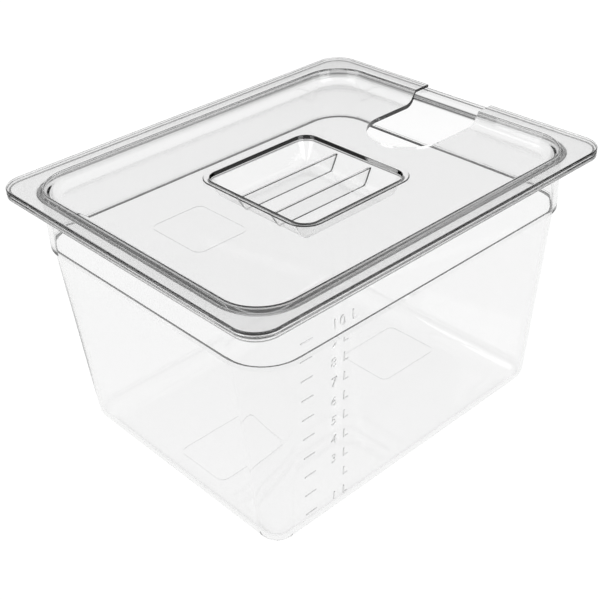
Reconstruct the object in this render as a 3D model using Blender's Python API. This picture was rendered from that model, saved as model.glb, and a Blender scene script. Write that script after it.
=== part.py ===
"""Deli food pan: a clear half-size pan, 200 mm deep, under a notched lift-off lid.

Two mouldings. The pan hangs by a flange with a turned-down lip, and steps in at a stacking
shoulder. The lid is a dished panel with a spoon notch in its +X side and, in its middle, a
sunk handle: a pocket with two upright fins to grip.

Frame: +X along the long side, towards the notch; +Z up; the origin is the centre of the
pan's underside. Metres.
"""

from math import atan, cos, degrees, pi, radians, sin, sqrt, tan

import bmesh
import bpy

# Driving dimensions
PAN_LENGTH = 0.325
PAN_WIDTH = 0.265
PAN_HEIGHT = 0.200
PAN_WALL = 0.0028
FLANGE_WALL = 0.0022
PANEL_WALL = 0.0033
SEAT_GAP = 0.0003
CORNER_STEPS = 8

# Outlines: an inset is measured inwards from the rim's outline. The corner arcs of every
# wall turn about one centre line, so a corner's radius is CORNER_CENTRE less the inset.
RIM_CORNER = 0.018
CORNER_CENTRE = 0.044
SMALLEST_CORNER = 0.0015

# Pan, food side of the wall
LIP_DEPTH = 0.0045
LIP_ROUND = 0.0022
UPPER_INSET = 0.0160
FLANGE_FILLET = 0.0030
SHOULDER_TOP = 0.1606
SHOULDER_DEPTH = 0.0006
SHOULDER_INSET = 0.0181
BASE_INSET = 0.0297
BASE_FILLET = 0.0160

# Lid, upper side
LID_DISH = 0.0093
LID_EDGE_ROUND = 0.0008
RECESS_INSET = 0.0150
RECESS_LEAN = 0.7
RECESS_FILLET = 0.0090

# Handle pocket
POCKET_LENGTH = 0.0984
POCKET_WIDTH = 0.1030
POCKET_CORNER = 0.0110
POCKET_DEPTH = 0.0160
POCKET_SLOPE = 0.0090
POCKET_FILLET = 0.0030
BEAD_WIDTH = 0.0045
BEAD_HEIGHT = 0.0014
BEAD_ROUND = 0.0007
FIN_THICKNESS = 0.0024
FIN_SPACING = 0.0334
FIN_DROP = 0.0042
FIN_ROOT = 0.0016

# Spoon notch
NOTCH_WIDTH = 0.0620
NOTCH_END = 0.0740
NOTCH_OVERRUN = 0.0200

FLANGE_TOP = PAN_HEIGHT + SEAT_GAP + FLANGE_WALL
PANEL_TOP = FLANGE_TOP - LID_DISH
POCKET_FLOOR = PANEL_TOP - POCKET_DEPTH
POCKET_MOUTH = PANEL_TOP + BEAD_HEIGHT


def clear_scene():
    for thing in list(bpy.data.objects):
        bpy.data.objects.remove(thing, do_unlink=True)


def add_collection(name):
    group = bpy.data.collections.new(name)
    bpy.context.scene.collection.children.link(group)
    return group


def clear_plastic(name, colour, alpha):
    material = bpy.data.materials.new(name)
    material.use_nodes = True
    shader = material.node_tree.nodes["Principled BSDF"]
    shader.inputs["Base Color"].default_value = (*colour, 1.0)
    shader.inputs["Roughness"].default_value = 0.08
    shader.inputs["Metallic"].default_value = 0.0
    shader.inputs["IOR"].default_value = 1.58
    shader.inputs["Alpha"].default_value = alpha
    return material


def rounded_rectangle(half_length, half_width, radius, height):
    """One ring of points, counter-clockwise from above, with the same count for every size."""
    points = []
    for turn, (side_x, side_y) in enumerate(((1, 1), (-1, 1), (-1, -1), (1, -1))):
        for step in range(CORNER_STEPS + 1):
            angle = (turn + step / CORNER_STEPS) * pi / 2
            x = side_x * (half_length - radius) + radius * cos(angle)
            y = side_y * (half_width - radius) + radius * sin(angle)
            points.append((x, y, height))
    return points


def rim_ring(inset, height):
    """A ring of the flange's outer edge."""
    radius = RIM_CORNER - inset
    return rounded_rectangle(PAN_LENGTH / 2 - inset, PAN_WIDTH / 2 - inset, radius, height)


def wall_ring(inset, height):
    """A ring of an upright wall or a fillet that belongs to it."""
    radius = max(CORNER_CENTRE - inset, SMALLEST_CORNER)
    return rounded_rectangle(PAN_LENGTH / 2 - inset, PAN_WIDTH / 2 - inset, radius, height)


def pocket_ring(outset, height):
    """A ring that lies outset from the mouth of the handle pocket."""
    radius = max(POCKET_CORNER + outset, SMALLEST_CORNER)
    return rounded_rectangle(POCKET_LENGTH / 2 + outset, POCKET_WIDTH / 2 + outset, radius, height)


def arc(centre_inset, centre_height, radius, start, end, steps):
    """Points (inset, height) along an arc; angles in degrees, 0 outwards and 90 up."""
    points = []
    for step in range(steps + 1):
        angle = radians(start + (end - start) * step / steps)
        points.append((centre_inset - radius * cos(angle), centre_height + radius * sin(angle)))
    return points


def loft(name, rings, collection, material):
    """Skin a list of rings into a closed body whose first and last rings are flat faces."""
    mesh = bpy.data.meshes.new(name)
    skin = bmesh.new()
    rows = [[skin.verts.new(point) for point in ring] for ring in rings]
    skin.faces.new(rows[0])
    skin.faces.new(rows[-1])
    count = len(rows[0])
    for lower, upper in zip(rows, rows[1:]):
        for i in range(count):
            j = (i + 1) % count
            skin.faces.new((lower[i], lower[j], upper[j], upper[i]))
    bmesh.ops.recalc_face_normals(skin, faces=skin.faces)
    skin.to_mesh(mesh)
    skin.free()
    thing = bpy.data.objects.new(name, mesh)
    thing.data.materials.append(material)
    collection.objects.link(thing)
    return thing


def pan_skin(depth):
    """Rings from the floor to the lip, at a depth into the wall from the food side."""
    taper = degrees(atan((BASE_INSET - SHOULDER_INSET) / (SHOULDER_TOP - PAN_WALL)))
    fillet_centre = (BASE_INSET + BASE_FILLET, PAN_WALL + BASE_FILLET)
    shoulder_low = SHOULDER_TOP - SHOULDER_DEPTH
    upper_end = PAN_HEIGHT - FLANGE_FILLET
    ledge = atan(SHOULDER_DEPTH / (SHOULDER_INSET - UPPER_INSET))
    drop = depth * tan((pi / 2 - ledge) / 2)
    rings = [
        wall_ring(*point)
        for point in arc(*fillet_centre, BASE_FILLET + depth, -90, -taper, 6)
    ]
    rings.append(wall_ring(SHOULDER_INSET - depth, shoulder_low - drop))
    rings.append(wall_ring(UPPER_INSET - depth, SHOULDER_TOP - drop))
    fold = arc(UPPER_INSET - FLANGE_FILLET, upper_end, FLANGE_FILLET - depth, 180, 90, 3)
    rings += [wall_ring(*point) for point in fold]
    lip_centre = max(LIP_ROUND, depth)
    edge = arc(lip_centre, PAN_HEIGHT - lip_centre, lip_centre - depth, 90, 0, 3)
    rings += [rim_ring(*point) for point in (edge if depth == 0 else edge[:1])]
    rings.append(rim_ring(depth, PAN_HEIGHT - LIP_DEPTH))
    return rings


def make_pan(collection):
    rings = pan_skin(PAN_WALL) + pan_skin(0)[::-1]
    return loft("food_pan", rings, collection, clear_plastic("pan_plastic", (0.93, 0.94, 0.94), 0.3))


def pocket_skin(depth):
    """Rings from the pocket's floor to the panel, at a depth into the wall from above."""
    slope = POCKET_SLOPE / (POCKET_DEPTH + BEAD_HEIGHT)
    shift = depth * sqrt(1 + slope * slope)
    floor = POCKET_FLOOR - depth
    fillet = POCKET_FILLET + depth

    def wall_outset(height):
        return shift - slope * (POCKET_MOUTH - height)

    foot = wall_outset(floor)
    rings = [
        pocket_ring(foot - fillet, floor),
        pocket_ring(foot - fillet * 0.35, floor + fillet * 0.25),
        pocket_ring(wall_outset(floor + fillet), floor + fillet),
    ]
    if depth > 0:
        rings.append(pocket_ring(wall_outset(PANEL_TOP - depth), PANEL_TOP - depth))
        return rings
    rings += [
        pocket_ring(wall_outset(POCKET_MOUTH - BEAD_ROUND), POCKET_MOUTH - BEAD_ROUND),
        pocket_ring(BEAD_ROUND, POCKET_MOUTH),
        pocket_ring(BEAD_WIDTH - BEAD_ROUND * 2, POCKET_MOUTH),
        pocket_ring(BEAD_WIDTH, PANEL_TOP),
    ]
    return rings


def lid_top():
    """Rings from the pocket's floor over the panel and up the leaning recess wall to the rim."""
    lean = degrees(atan(RECESS_LEAN))
    foot = RECESS_INSET + RECESS_LEAN * LID_DISH
    reach = RECESS_FILLET * tan(radians(90 - lean) / 2)
    centre = (foot + reach, PANEL_TOP + RECESS_FILLET)
    rings = pocket_skin(0)
    rings += [wall_ring(*point) for point in arc(*centre, RECESS_FILLET, -90, -lean, 4)]
    rings.append(wall_ring(RECESS_INSET, FLANGE_TOP))
    edge = arc(LID_EDGE_ROUND, FLANGE_TOP - LID_EDGE_ROUND, LID_EDGE_ROUND, 90, 0, 2)
    rings += [rim_ring(*point) for point in edge]
    return rings


def lid_underside():
    """Rings from the pocket's floor to the lid's edge; the fold clears the pan's fillet."""
    flange = PAN_HEIGHT + SEAT_GAP
    fold = FLANGE_FILLET + SEAT_GAP
    side = UPPER_INSET + SEAT_GAP - fold
    panel = PANEL_TOP - PANEL_WALL
    foot = RECESS_INSET + RECESS_LEAN * LID_DISH
    rings = pocket_skin(PANEL_WALL)
    rings.append(wall_ring(foot + PANEL_WALL, panel))
    rings.append(wall_ring(foot - PANEL_WALL / 4, panel + PANEL_WALL / 3))
    rings.append(wall_ring(side + fold + PANEL_WALL / 3, panel + PANEL_WALL * 3 / 2))
    rings += [wall_ring(*point) for point in arc(side, flange - fold, fold, 180, 90, 4)]
    rings.append(rim_ring(0, flange))
    return rings


def make_lid(collection, cutters):
    rings = lid_underside() + lid_top()[::-1]
    lid = loft("notched_lid", rings, collection, clear_plastic("lid_plastic", (0.9, 0.91, 0.92), 0.35))
    for side in (-1, 1):
        combine(lid, make_fin(side, cutters), "UNION")
    combine(lid, make_notch_cutter(cutters), "DIFFERENCE")
    return lid


def combine(thing, tool, operation):
    step = thing.modifiers.new(tool.name, "BOOLEAN")
    step.operation = operation
    step.object = tool


def add_tool(name, block, cutters):
    """Turn a bmesh into a hidden tool for a Boolean."""
    mesh = bpy.data.meshes.new(name)
    block.to_mesh(mesh)
    block.free()
    tool = bpy.data.objects.new(name, mesh)
    cutters.objects.link(tool)
    tool.hide_render = True
    tool.display_type = "WIRE"
    return tool


def make_fin(side, cutters):
    """One upright grip fin: a thin block whose ends slope with the pocket's end walls."""
    top = PANEL_TOP - FIN_DROP
    bottom = POCKET_FLOOR - FIN_ROOT
    slope = POCKET_SLOPE / (POCKET_DEPTH + BEAD_HEIGHT)
    block = bmesh.new()
    bmesh.ops.create_cube(block, size=1.0)
    for corner in block.verts:
        height = top if corner.co.z > 0 else bottom
        reach = POCKET_LENGTH / 2 - slope * (POCKET_MOUTH - height) + FIN_ROOT
        corner.co.x *= 2 * reach
        corner.co.y = side * FIN_SPACING / 2 + corner.co.y * FIN_THICKNESS
        corner.co.z = height
    return add_tool("front_fin" if side < 0 else "rear_fin", block, cutters)


def make_notch_cutter(cutters):
    """A slot with a round end, open at the lid's +X edge and taller than the lid's dish."""
    length = PAN_LENGTH / 2 + NOTCH_OVERRUN - NOTCH_END
    height = LID_DISH + 2 * NOTCH_OVERRUN
    block = bmesh.new()
    bmesh.ops.create_cube(block, size=1.0)
    bmesh.ops.scale(block, vec=(length, NOTCH_WIDTH, height), verts=block.verts)
    end_edges = [
        edge for edge in block.edges
        if all(corner.co.x < 0 for corner in edge.verts) and edge.calc_length() > NOTCH_WIDTH / 2
        and abs(edge.verts[0].co.y - edge.verts[1].co.y) < NOTCH_WIDTH / 2
    ]
    bmesh.ops.bevel(block, geom=end_edges, offset=NOTCH_WIDTH * 0.498, segments=10,
                    profile=0.5, affect="EDGES")
    notch = add_tool("notch", block, cutters)
    notch.location = (NOTCH_END + length / 2, 0, FLANGE_TOP - LID_DISH / 2)
    return notch


def shade_round(thing):
    thing.data.shade_smooth()
    thing.data.set_sharp_from_angle(angle=radians(35))


def main():
    clear_scene()
    parts = add_collection("deli_food_pan")
    cutters = add_collection("cutters")
    shade_round(make_pan(parts))
    shade_round(make_lid(parts, cutters))


main()
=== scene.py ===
"""Looks of the deli food pan: two clear mouldings in soft white light.

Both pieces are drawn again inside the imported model's box, with finer fillets and with the
moulded detail: graduations, outlines on the base and a plain outline on the lid. The lip, the
bead, the fins and the grip pocket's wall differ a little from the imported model's, and those
values were chosen for their looks.
"""

from math import acos, atan, ceil, cos, pi, radians, sin, sqrt, tan

import bmesh
import bpy
from mathutils import Matrix, Vector


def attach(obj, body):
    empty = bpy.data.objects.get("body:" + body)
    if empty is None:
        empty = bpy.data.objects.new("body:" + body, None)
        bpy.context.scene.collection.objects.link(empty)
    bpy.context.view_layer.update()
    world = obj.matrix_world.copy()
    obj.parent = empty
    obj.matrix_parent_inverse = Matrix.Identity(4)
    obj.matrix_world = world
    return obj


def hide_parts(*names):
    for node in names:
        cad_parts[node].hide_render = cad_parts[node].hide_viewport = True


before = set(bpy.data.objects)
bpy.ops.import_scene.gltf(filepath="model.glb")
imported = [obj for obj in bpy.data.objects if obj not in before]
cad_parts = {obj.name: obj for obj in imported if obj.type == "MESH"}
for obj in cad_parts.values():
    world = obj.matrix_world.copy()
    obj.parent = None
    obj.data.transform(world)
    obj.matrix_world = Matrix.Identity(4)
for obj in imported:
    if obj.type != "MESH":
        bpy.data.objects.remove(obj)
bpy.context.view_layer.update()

# ---------------------------------------------------------------- dimensions, metres

PAN_LENGTH = 0.325
PAN_WIDTH = 0.265
PAN_HEIGHT = 0.200
PAN_WALL = 0.0028
FLANGE_WALL = 0.0022
PANEL_WALL = 0.0033
SEAT_GAP = 0.0003

RIM_CORNER = 0.018
CORNER_CENTRE = 0.044
SMALLEST_CORNER = 0.0012
CORNER_STEPS = 20
STEP_ANGLE = radians(11)
CREASE_ANGLE = radians(28)
SMALL_ROUND = 0.0005
TINY_ROUND = 0.0003

LIP_DEPTH = 0.0045
LIP_ROUND = 0.0010
LIP_EDGE = 0.0012
LIP_ROOT = 0.0007
UPPER_INSET = 0.0160
FLANGE_FILLET = 0.0030
FLANGE_GUSSET = 0.0042
SHOULDER_TOP = 0.1606
SHOULDER_DEPTH = 0.0006
SHOULDER_INSET = 0.0181
BASE_INSET = 0.0297
BASE_FILLET = 0.0160

LID_DISH = 0.0093
LID_EDGE_ROUND = 0.0008
RECESS_INSET = 0.0150
RECESS_LEAN = 0.7
RECESS_FOLD = 0.0008
RECESS_FILLET = 0.0090
# The hip is the underside's bend partway down the recess wall.
HIP_RISE = 1.9 * PANEL_WALL
HIP_SHIFT = PANEL_WALL / 6
HIP_ROUND = 0.0050
FOOT_SHIFT = PANEL_WALL / 3

POCKET_LENGTH = 0.0984
POCKET_WIDTH = 0.1030
POCKET_CORNER = 0.0110
POCKET_DEPTH = 0.0160
POCKET_SLOPE = 0.0090
POCKET_FILLET = 0.0030
POCKET_WALL = 0.0022
POCKET_ROOT_FILLET = 0.0026
POCKET_OUTER_FILLET = 0.0080
BEAD_WIDTH = 0.0045
BEAD_HEIGHT = 0.0006
BEAD_ROUND = 0.0006
FIN_THICKNESS = 0.0026
FIN_SPACING = 0.0334
FIN_DROP = 0.0042
FIN_ROOT = 0.0016
FIN_BEVEL = 0.3 * FIN_THICKNESS
FIN_BEVEL_STEPS = 4

NOTCH_WIDTH = 0.0620
NOTCH_END = 0.0740
NOTCH_STEPS = 48
NOTCH_OVERRUN = 0.0200

FLANGE_TOP = PAN_HEIGHT + SEAT_GAP + FLANGE_WALL
PANEL_TOP = FLANGE_TOP - LID_DISH
POCKET_FLOOR = PANEL_TOP - POCKET_DEPTH
POCKET_MOUTH = PANEL_TOP + BEAD_HEIGHT
POCKET_LEAN = POCKET_SLOPE / (POCKET_DEPTH + BEAD_HEIGHT)
WALL_HEIGHT = SHOULDER_TOP - SHOULDER_DEPTH - PAN_WALL - BASE_FILLET
WALL_SLOPE = (BASE_INSET - SHOULDER_INSET) / WALL_HEIGHT

LITRE_MARKS = 10
FILL_LAYER = 0.0002
MARK_RELIEF = 0.0005
TICK_LENGTH = 0.0095
TICK_LINE = 0.0007
TICK_FOOT = -0.1066
TICK_LEAN = -0.0685
NUMERAL_SIZE = 0.0104
NUMERAL_THINNING = -0.00012
NUMERAL_SPACING = 1.2
NUMERAL_FOOT = -0.0841
NUMERAL_LEAN = -0.052

OUTLINE_CORNER = 0.006
OUTLINE_LINE = 0.0006
BASE_OUTLINE = (0.060, 0.049)
BASE_OUTLINE_SPREAD = 0.082
BASE_OUTLINE_RELIEF = 0.0002
LABEL_OUTLINE = (0.042, 0.050)
LABEL_CENTRE = (-0.096, -0.003)
LABEL_RELIEF = 0.00015

# ---------------------------------------------------------------- plastic, floor and surroundings

PLASTIC_IOR = 1.58
BODY_GREY = 0.52
PAN_ABSORPTION = 44.0
LID_ABSORPTION = 40.0
WORN_ROUGHNESS = 0.03
WORN_PATCHES = (0.52, 0.75)

FLOOR_REACH = 30
FLOOR_GAP = 0.0004
FLOOR_BRIGHT = 1.06
FLOOR_DIM = 0.12
FLOOR_FADE = (0.50, 1.3)
BACKDROP = 1.02
SKY_STEPS = ((0.0, 0.01), (0.24, 0.02), (0.34, 0.66), (0.62, 0.66), (0.80, 0.9), (1.0, 0.5))
BOUNCES = 12


# ---------------------------------------------------------------- profiles and lofts


def rounded_rectangle(half_length, half_width, radius, height):
    points = []
    for turn, (side_x, side_y) in enumerate(((1, 1), (-1, 1), (-1, -1), (1, -1))):
        for step in range(CORNER_STEPS + 1):
            angle = (turn + step / CORNER_STEPS) * pi / 2
            x = side_x * (half_length - radius) + radius * cos(angle)
            y = side_y * (half_width - radius) + radius * sin(angle)
            points.append((x, y, height))
    return points


def ring(inset, height, family):
    """A ring of the rim, the walls or the pocket.

    An inset is measured along X from the rim's edge. A pocket ring is the pocket's outline,
    moved in or out by the same distance on every side.
    """
    if family == "pocket":
        outset = (PAN_LENGTH - POCKET_LENGTH) / 2 - inset
        radius = max(POCKET_CORNER + outset, SMALLEST_CORNER)
        return rounded_rectangle(
            POCKET_LENGTH / 2 + outset, POCKET_WIDTH / 2 + outset, radius, height
        )
    corner = RIM_CORNER if family == "rim" else CORNER_CENTRE
    radius = max(corner - inset, SMALLEST_CORNER)
    return rounded_rectangle(PAN_LENGTH / 2 - inset, PAN_WIDTH / 2 - inset, radius, height)


def rounded_profile(points):
    """Round the corners of a profile given as (inset, height, radius, family).

    The first and the last point stay sharp. They end the two flat faces.
    """
    rows = [(points[0][0], points[0][1], points[0][3])]
    for before, here, after in zip(points, points[1:], points[2:]):
        x, z, radius, family = here
        corner = Vector((x, z))
        back = Vector((before[0] - x, before[1] - z)).normalized()
        ahead = Vector((after[0] - x, after[1] - z)).normalized()
        half = acos(max(-1.0, min(1.0, back.dot(ahead)))) / 2
        turn = pi - 2 * half
        centre = corner + (back + ahead).normalized() * (radius / sin(half))
        first = corner + back * (radius / tan(half)) - centre
        last = corner + ahead * (radius / tan(half)) - centre
        steps = max(2, ceil(turn / STEP_ANGLE))
        for step in range(steps + 1):
            share = step / steps
            spoke = (first * sin((1 - share) * turn) + last * sin(share * turn)) / sin(turn)
            rows.append((centre.x + spoke.x, centre.y + spoke.y, family))
    rows.append((points[-1][0], points[-1][1], points[-1][3]))
    return rows


def loft(name, rows):
    """Skin rings into a closed body; the first and the last ring are flat faces."""
    skin = bmesh.new()
    rings = [[skin.verts.new(point) for point in ring(*row)] for row in rows]
    skin.faces.new(rings[0])
    skin.faces.new(rings[-1])
    count = len(rings[0])
    for lower, upper in zip(rings, rings[1:]):
        for i in range(count):
            j = (i + 1) % count
            skin.faces.new((lower[i], lower[j], upper[j], upper[i]))
    bmesh.ops.recalc_face_normals(skin, faces=skin.faces)
    return to_object(name, skin)


def to_object(name, block):
    mesh = bpy.data.meshes.new(name)
    block.to_mesh(mesh)
    block.free()
    thing = bpy.data.objects.new(name, mesh)
    bpy.context.scene.collection.objects.link(thing)
    return thing


def combine(thing, tool, operation):
    step = thing.modifiers.new(tool.name, "BOOLEAN")
    step.operation = operation
    step.object = tool
    step.solver = "EXACT"
    tool.hide_render = True
    tool.hide_viewport = True


def evaluated_mesh(thing):
    bpy.context.view_layer.update()
    depsgraph = bpy.context.evaluated_depsgraph_get()
    return bpy.data.meshes.new_from_object(thing.evaluated_get(depsgraph))


def settle(thing, tools):
    """Make the Booleans real and remove their tools."""
    mesh = evaluated_mesh(thing)
    thing.modifiers.clear()
    thing.data = mesh
    for tool in tools:
        bpy.data.objects.remove(tool, do_unlink=True)


def finish_surface(thing):
    """Smooth shading with the flat faces' normals kept flat."""
    thing.data.shade_smooth()
    thing.data.set_sharp_from_angle(angle=CREASE_ANGLE)
    weighted = thing.modifiers.new("flat_faces_first", "WEIGHTED_NORMAL")
    weighted.mode = "FACE_AREA"
    weighted.keep_sharp = True


# ---------------------------------------------------------------- pan


def pan_profile():
    """From the floor over the flange and lip and down the outside to the underside."""
    low = SHOULDER_TOP - SHOULDER_DEPTH
    foot = SHOULDER_INSET + WALL_SLOPE * (low - PAN_WALL)
    skew = PAN_WALL * sqrt(1 + WALL_SLOPE * WALL_SLOPE)
    floor_edge = BASE_INSET + BASE_FILLET + PAN_WALL
    ledge = atan(SHOULDER_DEPTH / (SHOULDER_INSET - UPPER_INSET))
    drop = PAN_WALL * tan((pi / 2 - ledge) / 2)
    under = PAN_HEIGHT - PAN_WALL
    lip = PAN_HEIGHT - LIP_DEPTH
    return [
        (floor_edge, PAN_WALL, 0, "wall"),
        (foot, PAN_WALL, BASE_FILLET, "wall"),
        (SHOULDER_INSET, low, TINY_ROUND, "wall"),
        (UPPER_INSET, SHOULDER_TOP, SMALL_ROUND, "wall"),
        (UPPER_INSET, PAN_HEIGHT, FLANGE_FILLET, "wall"),
        (0, PAN_HEIGHT, LIP_ROUND, "rim"),
        (0, lip, LIP_EDGE, "rim"),
        (PAN_WALL, lip, LIP_EDGE, "rim"),
        (PAN_WALL, under, LIP_ROOT, "rim"),
        (UPPER_INSET - PAN_WALL, under, FLANGE_GUSSET, "wall"),
        (UPPER_INSET - PAN_WALL, SHOULDER_TOP - drop, TINY_ROUND, "wall"),
        (SHOULDER_INSET - PAN_WALL, low - drop, SMALL_ROUND, "wall"),
        (foot - skew + WALL_SLOPE * PAN_WALL, 0, BASE_FILLET + PAN_WALL, "wall"),
        (floor_edge, 0, 0, "wall"),
    ]


def inner_inset(height):
    """Inset of the food side of the wall at a height."""
    if height > SHOULDER_TOP:
        return UPPER_INSET
    inset = SHOULDER_INSET + WALL_SLOPE * (SHOULDER_TOP - SHOULDER_DEPTH - height)
    drop = PAN_WALL + BASE_FILLET - height
    if drop > 0:
        inset += BASE_FILLET - sqrt(BASE_FILLET ** 2 - drop ** 2)
    return inset


def level_of(litres):
    """Height that a volume reaches inside the pan."""
    height = PAN_WALL
    volume = 0.0
    while volume < litres / 1000:
        inset = inner_inset(height)
        corner = CORNER_CENTRE - inset
        length, width = PAN_LENGTH - 2 * inset, PAN_WIDTH - 2 * inset
        volume += FILL_LAYER * (length * width - (4 - pi) * corner ** 2)
        height += FILL_LAYER
    return height


def on_front_wall(x, height):
    """Placement on the outside of the -Y wall: X to the right, Y up the wall, Z outwards."""
    upper = height > SHOULDER_TOP - PAN_WALL / 2
    tilt = 0.0 if upper else atan(WALL_SLOPE)
    fillet_top = PAN_WALL + BASE_FILLET
    inset = inner_inset(max(height, fillet_top)) - PAN_WALL / cos(tilt)
    inset += WALL_SLOPE * max(fillet_top - height, 0.0)
    right = Vector((1, 0, 0))
    up = Vector((0, -sin(tilt), cos(tilt)))
    turn = Matrix((right, up, right.cross(up))).transposed().to_4x4()
    return Matrix.Translation((x, inset - PAN_WIDTH / 2, height)) @ turn


def add_numeral(block, words, placement):
    """Raised letters, half sunk in the wall."""
    curve = bpy.data.curves.new(words, "FONT")
    curve.body = words
    curve.size = NUMERAL_SIZE
    curve.extrude = MARK_RELIEF
    curve.offset = NUMERAL_THINNING
    curve.resolution_u = 3
    curve.align_y = "CENTER"
    curve.space_character = NUMERAL_SPACING
    letters = bpy.data.objects.new(words, curve)
    bpy.context.scene.collection.objects.link(letters)
    mesh = evaluated_mesh(letters)
    mesh.transform(placement)
    block.from_mesh(mesh)
    bpy.data.objects.remove(letters, do_unlink=True)
    bpy.data.meshes.remove(mesh)


def add_tick(block, placement):
    """A raised bar, half sunk in the wall, with its left end at the placement."""
    corners = bmesh.ops.create_cube(block, size=1.0)["verts"]
    bmesh.ops.scale(block, vec=(TICK_LENGTH, TICK_LINE, 2 * MARK_RELIEF), verts=corners)
    middle = placement @ Matrix.Translation((TICK_LENGTH / 2, 0, 0))
    bmesh.ops.transform(block, matrix=middle, verts=corners)


def make_graduations():
    """A tick and a numeral for every litre, in two columns that lean to the -X corner."""
    block = bmesh.new()
    for litres in range(1, LITRE_MARKS + 1):
        height = level_of(litres)
        add_tick(block, on_front_wall(TICK_FOOT + TICK_LEAN * height, height))
        words = f"{litres} L"
        add_numeral(block, words, on_front_wall(NUMERAL_FOOT + NUMERAL_LEAN * height, height))
    bmesh.ops.remove_doubles(block, verts=block.verts, dist=0.000001)
    bmesh.ops.recalc_face_normals(block, faces=block.faces)
    return to_object("graduations", block)


def make_outline(name, size, centre, relief):
    """A low raised outline with round corners on a flat surface, half sunk in it."""
    length, width = size
    block = bmesh.new()
    loops = []
    for inset, side in ((0, -1), (0, 1), (OUTLINE_LINE, 1), (OUTLINE_LINE, -1)):
        points = rounded_rectangle(
            length / 2 - inset, width / 2 - inset, OUTLINE_CORNER - inset, 0
        )
        loops.append([
            block.verts.new((x + centre[0], y + centre[1], centre[2] + side * relief))
            for x, y, _ in points
        ])
    count = len(loops[0])
    for this, following in zip(loops, loops[1:] + loops[:1]):
        for i in range(count):
            j = (i + 1) % count
            block.faces.new((this[i], this[j], following[j], following[i]))
    bmesh.ops.recalc_face_normals(block, faces=block.faces)
    return to_object(name, block)


def make_pan():
    pan = loft("food_pan_clear", rounded_profile(pan_profile()))
    marks = [make_graduations()]
    for side in (-1, 1):
        centre = (side * BASE_OUTLINE_SPREAD, 0, PAN_WALL)
        marks.append(make_outline("base_outline", BASE_OUTLINE, centre, BASE_OUTLINE_RELIEF))
    for mark in marks:
        combine(pan, mark, "UNION")
    settle(pan, marks)
    finish_surface(pan)
    return pan


# ---------------------------------------------------------------- lid


def lid_profile():
    """From the pocket's floor over the panel to the rim and back along the underside."""
    mouth = (PAN_LENGTH - POCKET_LENGTH) / 2
    skew = POCKET_WALL * sqrt(1 + POCKET_LEAN * POCKET_LEAN)

    def pocket_inset(height, shift=0.0):
        return mouth + POCKET_LEAN * (POCKET_MOUTH - height) - shift

    floor = POCKET_FLOOR - POCKET_WALL
    panel = PANEL_TOP - PANEL_WALL
    flange = FLANGE_TOP - FLANGE_WALL
    bead = mouth - BEAD_WIDTH
    floor_edge = pocket_inset(POCKET_FLOOR) + POCKET_FILLET + POCKET_OUTER_FILLET
    foot = RECESS_INSET + RECESS_LEAN * LID_DISH
    side = UPPER_INSET + SEAT_GAP / 3
    return [
        (floor_edge, POCKET_FLOOR, 0, "pocket"),
        (pocket_inset(POCKET_FLOOR), POCKET_FLOOR, POCKET_FILLET, "pocket"),
        (mouth, POCKET_MOUTH, BEAD_ROUND, "pocket"),
        (bead + BEAD_ROUND, POCKET_MOUTH, BEAD_ROUND, "pocket"),
        (bead, PANEL_TOP, BEAD_ROUND / 4, "pocket"),
        (foot, PANEL_TOP, RECESS_FILLET, "wall"),
        (RECESS_INSET, FLANGE_TOP, RECESS_FOLD, "wall"),
        (0, FLANGE_TOP, LID_EDGE_ROUND, "rim"),
        (0, flange, SMALL_ROUND, "rim"),
        (side, flange, FLANGE_FILLET + SEAT_GAP, "wall"),
        (side + HIP_SHIFT, panel + HIP_RISE, HIP_ROUND, "wall"),
        (foot - FOOT_SHIFT, panel, RECESS_FILLET, "wall"),
        (pocket_inset(panel, skew), panel, POCKET_ROOT_FILLET, "pocket"),
        (pocket_inset(floor, skew), floor, POCKET_OUTER_FILLET, "pocket"),
        (floor_edge, floor, 0, "pocket"),
    ]


def make_fin(side):
    """One upright grip fin with a rounded top edge."""
    top = PANEL_TOP - FIN_DROP
    bottom = POCKET_FLOOR - FIN_ROOT
    block = bmesh.new()
    bmesh.ops.create_cube(block, size=1.0)
    for corner in block.verts:
        height = top if corner.co.z > 0 else bottom
        reach = POCKET_LENGTH / 2 - POCKET_LEAN * (POCKET_MOUTH - height) + FIN_ROOT
        corner.co.x *= 2 * reach
        corner.co.y = side * FIN_SPACING / 2 + corner.co.y * FIN_THICKNESS
        corner.co.z = height
    top_edges = [
        edge for edge in block.edges
        if all(corner.co.z > top - SMALL_ROUND for corner in edge.verts)
        and abs(edge.verts[0].co.y - edge.verts[1].co.y) < SMALL_ROUND
    ]
    bmesh.ops.bevel(
        block, geom=top_edges, offset=FIN_BEVEL, segments=FIN_BEVEL_STEPS, profile=0.5,
        affect="EDGES",
    )
    return to_object("front_fin" if side < 0 else "rear_fin", block)


def make_notch():
    """A slot with a half-round end, open at the lid's +X edge."""
    radius = NOTCH_WIDTH / 2
    far = PAN_LENGTH / 2 + NOTCH_OVERRUN
    outline = [(far, -radius), (far, radius)]
    for step in range(NOTCH_STEPS + 1):
        angle = pi / 2 + pi * step / NOTCH_STEPS
        outline.append((NOTCH_END + radius + radius * cos(angle), radius * sin(angle)))
    block = bmesh.new()
    lower = [block.verts.new((x, y, PANEL_TOP - NOTCH_OVERRUN)) for x, y in outline]
    upper = [block.verts.new((x, y, FLANGE_TOP + NOTCH_OVERRUN)) for x, y in outline]
    block.faces.new(lower)
    block.faces.new(upper)
    for i in range(len(outline)):
        j = (i + 1) % len(outline)
        block.faces.new((lower[i], lower[j], upper[j], upper[i]))
    bmesh.ops.recalc_face_normals(block, faces=block.faces)
    return to_object("notch", block)


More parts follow.
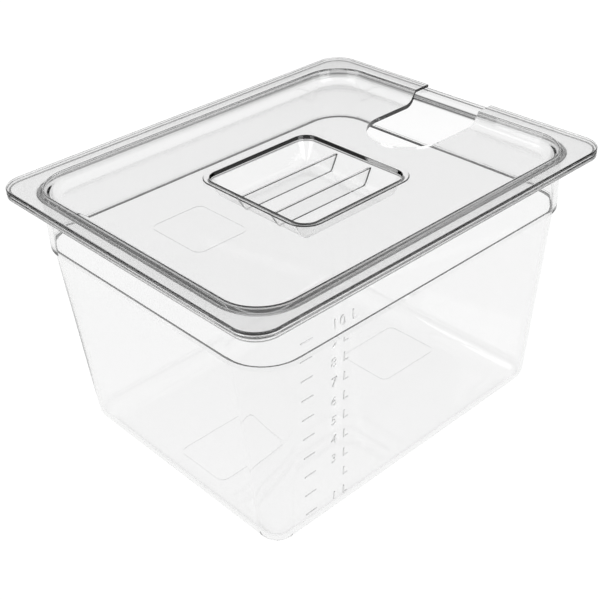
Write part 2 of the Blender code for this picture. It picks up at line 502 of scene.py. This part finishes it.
def make_lid():
    lid = loft("notched_lid_clear", rounded_profile(lid_profile()))
    fins = [make_fin(side) for side in (-1, 1)]
    for fin in fins:
        combine(lid, fin, "UNION")
    centre = (*LABEL_CENTRE, PANEL_TOP)
    label = make_outline("label_outline", LABEL_OUTLINE, centre, LABEL_RELIEF)
    combine(lid, label, "UNION")
    notch = make_notch()
    combine(lid, notch, "DIFFERENCE")
    settle(lid, fins + [label, notch])
    finish_surface(lid)
    return lid


# ---------------------------------------------------------------- materials


def add_noise(nodes, scale, detail):
    noise = nodes.new("ShaderNodeTexNoise")
    noise.inputs["Scale"].default_value = scale
    noise.inputs["Detail"].default_value = detail
    return noise


def add_bump(nodes, strength, depth):
    bump = nodes.new("ShaderNodeBump")
    bump.inputs["Strength"].default_value = strength
    bump.inputs["Distance"].default_value = depth
    return bump


def clear_plastic(name, absorption):
    """Solid clear plastic with a glossy, faintly worn skin.

    The roughness rises in cloudy patches, hairlines and slow moulding waves bend the
    highlights, and the body darkens long light paths.
    """
    material = bpy.data.materials.new(name)
    material.use_nodes = True
    nodes = material.node_tree.nodes
    links = material.node_tree.links
    shader = nodes["Principled BSDF"]
    shader.inputs["Base Color"].default_value = (1.0, 1.0, 1.0, 1.0)
    shader.inputs["Transmission Weight"].default_value = 1.0
    shader.inputs["IOR"].default_value = PLASTIC_IOR
    place = nodes.new("ShaderNodeTexCoord")

    patches = add_noise(nodes, scale=14.0, detail=6.0)
    wear = nodes.new("ShaderNodeMapRange")
    wear.inputs["From Min"].default_value = WORN_PATCHES[0]
    wear.inputs["From Max"].default_value = WORN_PATCHES[1]
    wear.inputs["To Max"].default_value = WORN_ROUGHNESS
    links.new(place.outputs["Object"], patches.inputs["Vector"])
    links.new(patches.outputs["Fac"], wear.inputs["Value"])
    links.new(wear.outputs["Result"], shader.inputs["Roughness"])

    stretch = nodes.new("ShaderNodeMapping")
    stretch.inputs["Rotation"].default_value = (0.3, 0.2, 0.6)
    stretch.inputs["Scale"].default_value = (900.0, 25.0, 300.0)
    hairlines = add_noise(nodes, scale=1.0, detail=3.0)
    scratches = add_bump(nodes, strength=0.03, depth=0.00005)
    links.new(place.outputs["Object"], stretch.inputs["Vector"])
    links.new(stretch.outputs["Vector"], hairlines.inputs["Vector"])
    links.new(hairlines.outputs["Fac"], scratches.inputs["Height"])

    flow = add_noise(nodes, scale=22.0, detail=1.0)
    waves = add_bump(nodes, strength=0.12, depth=0.0004)
    links.new(place.outputs["Object"], flow.inputs["Vector"])
    links.new(flow.outputs["Fac"], waves.inputs["Height"])
    links.new(waves.outputs["Normal"], scratches.inputs["Normal"])
    links.new(scratches.outputs["Normal"], shader.inputs["Normal"])

    body = nodes.new("ShaderNodeVolumeAbsorption")
    body.inputs["Color"].default_value = (BODY_GREY, BODY_GREY, BODY_GREY, 1.0)
    body.inputs["Density"].default_value = absorption
    links.new(body.outputs["Volume"], nodes["Material Output"].inputs["Volume"])
    return material


# ---------------------------------------------------------------- build


pan = make_pan()
lid = make_lid()
pan.data.materials.append(clear_plastic("pan_polycarbonate", PAN_ABSORPTION))
lid.data.materials.append(clear_plastic("lid_polycarbonate", LID_ABSORPTION))

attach(pan, "pan")
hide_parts("food_pan")
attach(lid, "lid")
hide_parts("notched_lid")


# ---------------------------------------------------------------- floor, light, camera


def for_camera(tree, plain, other):
    """A value that is plain for what the camera sees directly, and other for light's own paths."""
    path = tree.nodes.new("ShaderNodeLightPath")
    choice = tree.nodes.new("ShaderNodeMix")
    tree.links.new(path.outputs["Is Camera Ray"], choice.inputs[0])
    tree.links.new(other, choice.inputs[2])
    choice.inputs[3].default_value = plain
    return choice.outputs[0]


def fade_with_distance(tree, near, far, bright, dim):
    """Bright near the origin and dim far away; the camera sees it evenly bright."""
    place = tree.nodes.new("ShaderNodeNewGeometry")
    reach = tree.nodes.new("ShaderNodeVectorMath")
    reach.operation = "LENGTH"
    fade = tree.nodes.new("ShaderNodeMapRange")
    fade.interpolation_type = "SMOOTHSTEP"
    fade.inputs["From Min"].default_value = near
    fade.inputs["From Max"].default_value = far
    fade.inputs["To Min"].default_value = bright
    fade.inputs["To Max"].default_value = dim
    tree.links.new(place.outputs["Position"], reach.inputs[0])
    tree.links.new(reach.outputs["Value"], fade.inputs["Value"])
    return for_camera(tree, bright, fade.outputs["Result"])


def make_floor():
    """A white floor that glows and reflects nothing, so that the pan casts no shadow on it."""
    block = bmesh.new()
    bmesh.ops.create_grid(block, x_segments=2, y_segments=2, size=FLOOR_REACH)
    floor = to_object("floor", block)
    floor.location.z = -FLOOR_GAP
    material = bpy.data.materials.new("white_floor")
    material.use_nodes = True
    shader = material.node_tree.nodes["Principled BSDF"]
    shader.inputs["Base Color"].default_value = (0.0, 0.0, 0.0, 1.0)
    shader.inputs["Specular IOR Level"].default_value = 0.0
    shader.inputs["Roughness"].default_value = 1.0
    shader.inputs["Emission Color"].default_value = (1.0, 1.0, 1.0, 1.0)
    glow = fade_with_distance(material.node_tree, *FLOOR_FADE, FLOOR_BRIGHT, FLOOR_DIM)
    material.node_tree.links.new(glow, shader.inputs["Emission Strength"])
    floor.data.materials.append(material)


def make_world():
    """Surroundings that are dark low down and pale higher up; the camera sees a backdrop.

    Each step is the sine of an elevation and the grey there: dark up to about 14 degrees
    above the horizon, and pale from about 20 degrees.
    """
    world = bpy.data.worlds.new("studio")
    bpy.context.scene.world = world
    world.use_nodes = True
    nodes = world.node_tree.nodes
    links = world.node_tree.links
    place = nodes.new("ShaderNodeTexCoord")
    split = nodes.new("ShaderNodeSeparateXYZ")
    ramp = nodes.new("ShaderNodeValToRGB")
    stops = ramp.color_ramp.elements
    while len(stops) < len(SKY_STEPS):
        stops.new(1.0)
    for stop, (position, grey) in zip(stops, SKY_STEPS):
        stop.position = position
        stop.color = (grey, grey, grey, 1.0)
    links.new(place.outputs["Generated"], split.inputs["Vector"])
    links.new(split.outputs["Z"], ramp.inputs["Fac"])
    nodes["Background"].inputs["Color"].default_value = (1.0, 1.0, 1.0, 1.0)
    glow = for_camera(world.node_tree, BACKDROP, ramp.outputs["Color"])
    links.new(glow, nodes["Background"].inputs["Strength"])


def add_softbox(name, azimuth, elevation, distance, width, height, radiance):
    """A rectangular light that faces the origin; the azimuth turns from +X towards +Y."""
    azimuth, elevation = radians(azimuth), radians(elevation)
    away = Vector((
        cos(azimuth) * cos(elevation), sin(azimuth) * cos(elevation), sin(elevation)
    ))
    data = bpy.data.lights.new(name, "AREA")
    data.shape = "RECTANGLE"
    data.size = width
    data.size_y = height
    data.energy = radiance * pi * width * height
    lamp = bpy.data.objects.new(name, data)
    bpy.context.scene.collection.objects.link(lamp)
    lamp.location = away * distance
    lamp.rotation_euler = away.to_track_quat("Z", "Y").to_euler()


def make_camera():
    """The azimuth turns from -Y, and the roll is about the line of sight."""
    azimuth, elevation, roll = radians(-41.83), radians(32.98), radians(-2.63)
    target = Vector((-0.01289, -0.00292, 0.09939))
    distance = 0.80181
    back = Vector((
        sin(azimuth) * cos(elevation), -cos(azimuth) * cos(elevation), sin(elevation)
    ))
    level = Vector((cos(azimuth), sin(azimuth), 0))
    up = back.cross(level)
    right = level * cos(roll) + up * sin(roll)
    up = -level * sin(roll) + up * cos(roll)
    data = bpy.data.cameras.new("camera")
    data.lens = 66.38
    data.clip_start = 0.01
    data.clip_end = 100
    camera = bpy.data.objects.new("camera", data)
    bpy.context.scene.collection.objects.link(camera)
    turn = Matrix((right, up, back)).transposed().to_4x4()
    camera.matrix_world = Matrix.Translation(target + back * distance) @ turn
    bpy.context.scene.camera = camera


make_floor()
make_world()
add_softbox("key", 270, 40, distance=2.5, width=1.8, height=1.2, radiance=2.5)
add_softbox("side", 160, 40, distance=2.5, width=1.6, height=1.2, radiance=2.0)
make_camera()

scene = bpy.context.scene
scene.view_settings.view_transform = "Standard"
scene.cycles.max_bounces = BOUNCES
scene.cycles.transmission_bounces = BOUNCES
scene.cycles.glossy_bounces = BOUNCES
